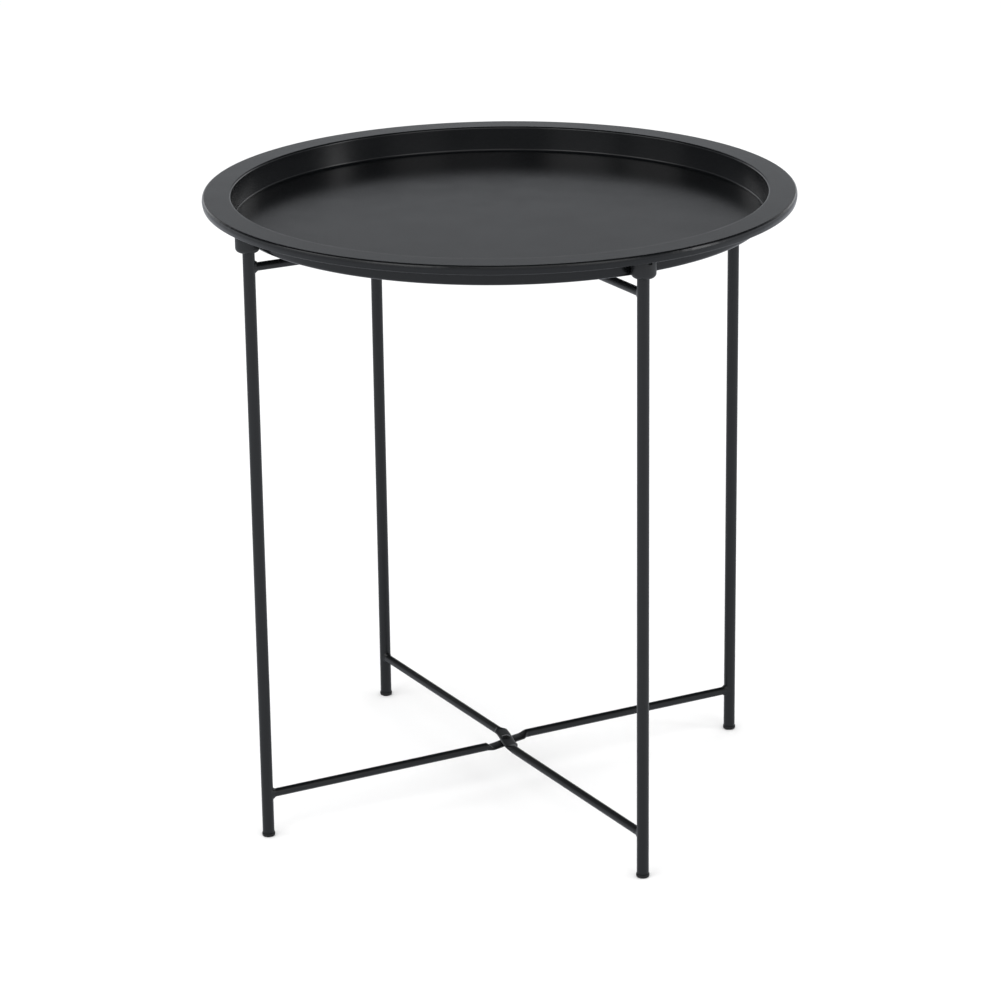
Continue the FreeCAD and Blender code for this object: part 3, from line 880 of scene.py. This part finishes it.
# %% Lights
CAMERA_TURN = math.radians(16.2)
TENT = 1.0
PANEL_AIM = 0.4
PANELS = (
    ("front_panel", (0.3, -2.7, 2.1), 1.6, 1.7, 9),
    ("high_front_panel", (0.2, -1.6, 3.0), 3.0, 1.2, 8),
    ("front_left_panel", (-1.8, -2.3, 1.9), 1.6, 1.6, 22),
    ("left_panel", (-2.8, -0.7, 1.9), 1.6, 1.6, 16),
    ("front_right_panel", (1.8, -2.3, 1.9), 1.4, 1.6, 13),
    ("right_panel", (3.0, -0.6, 1.2), 0.6, 1.8, 14),
    ("back_left_panel", (-1.7, 2.9, 1.35), 1.3, 1.3, 4),
    ("back_right_panel", (1.7, 2.9, 1.35), 1.3, 1.3, 4),
)
ROOM = ((0.0, 0.93), (0.17, 0.65), (0.235, 0.47), (0.27, 0.32), (0.37, 0.11), (0.50, 0.035), (0.85, 0.013))
ROOM_TINT = (0.97, 1.0, 1.045)


def add_panel(name, place, width, height, power):
    """A soft rectangular light at a place in the room, turned to face the table."""
    light = bpy.data.lights.new(name, "AREA")
    light.shape = "RECTANGLE"
    light.size, light.size_y = width, height
    light.energy = power
    panel = bpy.data.objects.new(name, light)
    spot = Matrix.Rotation(CAMERA_TURN, 4, "Z") @ Vector(place)
    panel.location = spot
    panel.rotation_euler = (Vector((0, 0, PANEL_AIM)) - spot).to_track_quat("-Z", "Y").to_euler()
    panel.visible_camera = False
    bpy.context.scene.collection.objects.link(panel)
    print("%s: %.0f W" % (name, power))


def light_room():
    """The tent that lights dull surfaces, the room that shiny ones mirror, and the panels."""
    world = bpy.data.worlds.new("room")
    bpy.context.scene.world = world
    world.use_nodes = True
    world.cycles.sampling_method = "NONE"
    tree = world.node_tree
    tent = tree.nodes["Background"]
    tent.inputs["Color"].default_value = (TENT, TENT, TENT, 1)
    walls = tree.nodes.new("ShaderNodeBackground")
    height = tree.nodes.new("ShaderNodeSeparateXYZ")
    tree.links.new(tree.nodes.new("ShaderNodeTexCoord").outputs["Generated"], height.inputs["Vector"])
    fade = tree.nodes.new("ShaderNodeValToRGB")
    while len(fade.color_ramp.elements) < len(ROOM):
        fade.color_ramp.elements.new(0.5)
    for stop, (level, brightness) in zip(fade.color_ramp.elements, ROOM):
        stop.position = level
        stop.color = (*(brightness * tint for tint in ROOM_TINT), 1)
    tree.links.new(height.outputs["Z"], fade.inputs["Fac"])
    tree.links.new(fade.outputs["Color"], walls.inputs["Color"])
    chosen = tree.nodes.new("ShaderNodeMixShader")
    tree.links.new(tree.nodes.new("ShaderNodeLightPath").outputs["Is Glossy Ray"], chosen.inputs["Fac"])
    tree.links.new(tent.outputs["Background"], chosen.inputs[1])
    tree.links.new(walls.outputs["Background"], chosen.inputs[2])
    tree.links.new(chosen.outputs["Shader"], tree.nodes["World Output"].inputs["Surface"])
    for name, place, width, height, power in PANELS:
        add_panel(name, place, width, height, power)


light_room()
bpy.context.scene.view_settings.view_transform = "Standard"

# %% [markdown]
# ## The camera
# A long lens at a distance, looking slightly down, keeps the upright legs nearly parallel. The camera's
# own axes are built from where it stands and how far it looks down, and a small roll is added.

# %% The camera
CAMERA_DISTANCE = 2760.6
CAMERA_HEIGHT = 1200.1
LOOK_DOWN = math.radians(18.296)
ROLL = math.radians(-0.693)
LENS = 128.9
SENSOR_WIDTH = 36
SHIFT_X = -0.0022
SHIFT_Y = -0.0469


def add_camera():
    """The camera that the picture is taken with."""
    lens = bpy.data.cameras.new("camera")
    lens.lens = LENS
    lens.sensor_width = SENSOR_WIDTH
    lens.shift_x, lens.shift_y = SHIFT_X, SHIFT_Y
    camera = bpy.data.objects.new("camera", lens)
    right = Vector((1, 0, 0))
    up = Vector((0, math.sin(LOOK_DOWN), math.cos(LOOK_DOWN)))
    rolled_right = math.cos(ROLL) * right + math.sin(ROLL) * up
    rolled_up = math.cos(ROLL) * up - math.sin(ROLL) * right
    axes = Matrix((rolled_right, rolled_up, rolled_right.cross(rolled_up))).transposed().to_4x4()
    place = Matrix.Translation((0, -CAMERA_DISTANCE * MM, CAMERA_HEIGHT * MM))
    camera.matrix_world = Matrix.Rotation(CAMERA_TURN, 4, "Z") @ place @ axes
    bpy.context.scene.collection.objects.link(camera)
    bpy.context.scene.camera = camera


add_camera()
